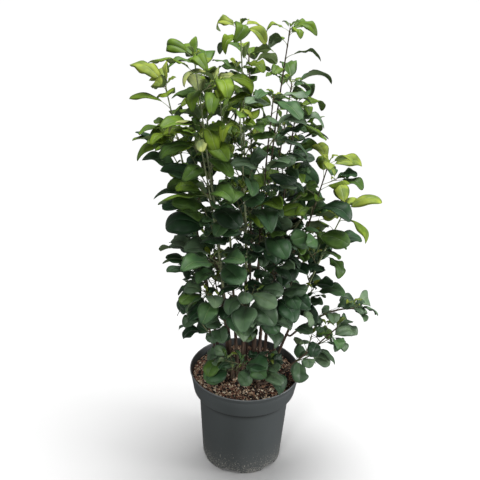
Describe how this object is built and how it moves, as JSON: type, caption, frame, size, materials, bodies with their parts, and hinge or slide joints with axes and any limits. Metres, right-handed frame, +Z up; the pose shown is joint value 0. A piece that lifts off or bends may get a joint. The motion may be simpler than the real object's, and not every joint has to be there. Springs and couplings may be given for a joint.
{
  "type": "potted serviceberry shrub",
  "caption": "Upright leafy serviceberry shrub with thin canes rising from potting mix in a tapered round nursery pot with a deep rim band.",
  "frame": {"origin": "middle of the pot's flat underside", "axes": "+Z up along the pot and the canes, -Y towards the front of the plant, +X to its right"},
  "size_m": [0.5196, 0.4061, 1],
  "materials": {
    "pot_plastic": "matte dark grey moulded plastic",
    "potting_mix": "coarse peat, bark and grit",
    "cane_bark": "thin reddish brown bark",
    "leaf_deep": "deep blue green leaves",
    "leaf_mid": "mid green leaves",
    "leaf_fresh": "fresh yellow green leaves"
  },
  "bodies": {
    "root": {"pot": "pot_plastic", "potting_mix": "potting_mix", "cane_left": "cane_bark", "cane_far_left": "cane_bark", "cane_front_left": "cane_bark", "cane_mid_left": "cane_bark", "cane_centre": "cane_bark", "cane_front": "cane_bark", "cane_front_right": "cane_bark", "cane_leader": "cane_bark", "cane_right": "cane_bark", "cane_far_right": "cane_bark", "cane_back_left": "cane_bark", "cane_back": "cane_bark", "cane_back_right": "cane_bark", "cane_arching": "cane_bark", "cane_low_left": "cane_bark", "cane_low_right": "cane_bark", "bough_right": "cane_bark", "foliage_left_top": "leaf_fresh", "foliage_left_1": "leaf_mid", "foliage_far_left_top": "leaf_fresh", "foliage_far_left_1": "leaf_mid", "foliage_far_left_2": "leaf_deep", "foliage_front_left_top": "leaf_fresh", "foliage_front_left_1": "leaf_mid", "foliage_front_left_2": "leaf_deep", "foliage_mid_left_top": "leaf_fresh", "foliage_centre_top": "leaf_fresh", "foliage_centre_1": "leaf_deep", "foliage_front_top": "leaf_mid", "foliage_front_1": "leaf_deep", "foliage_front_2": "leaf_deep", "foliage_front_3": "leaf_mid", "foliage_front_right_top": "leaf_deep", "foliage_front_right_1": "leaf_deep", "foliage_front_right_2": "leaf_deep", "foliage_front_right_3": "leaf_mid", "foliage_leader_top": "leaf_mid", "foliage_leader_1": "leaf_deep", "foliage_leader_2": "leaf_deep", "foliage_right_top": "leaf_mid", "foliage_right_1": "leaf_deep", "foliage_far_right_top": "leaf_mid", "foliage_far_right_1": "leaf_deep", "foliage_back_left_top": "leaf_mid", "foliage_back_left_1": "leaf_mid", "foliage_back_left_2": "leaf_deep", "foliage_back_top": "leaf_mid", "foliage_back_1": "leaf_mid", "foliage_back_2": "leaf_deep", "foliage_back_right_top": "leaf_mid", "foliage_back_right_1": "leaf_deep", "foliage_back_right_2": "leaf_deep", "foliage_arching_top": "leaf_mid", "foliage_low_left_top": "leaf_deep", "foliage_low_right_top": "leaf_deep", "foliage_bough_right": "leaf_deep"}
  },
  "joints": []
}
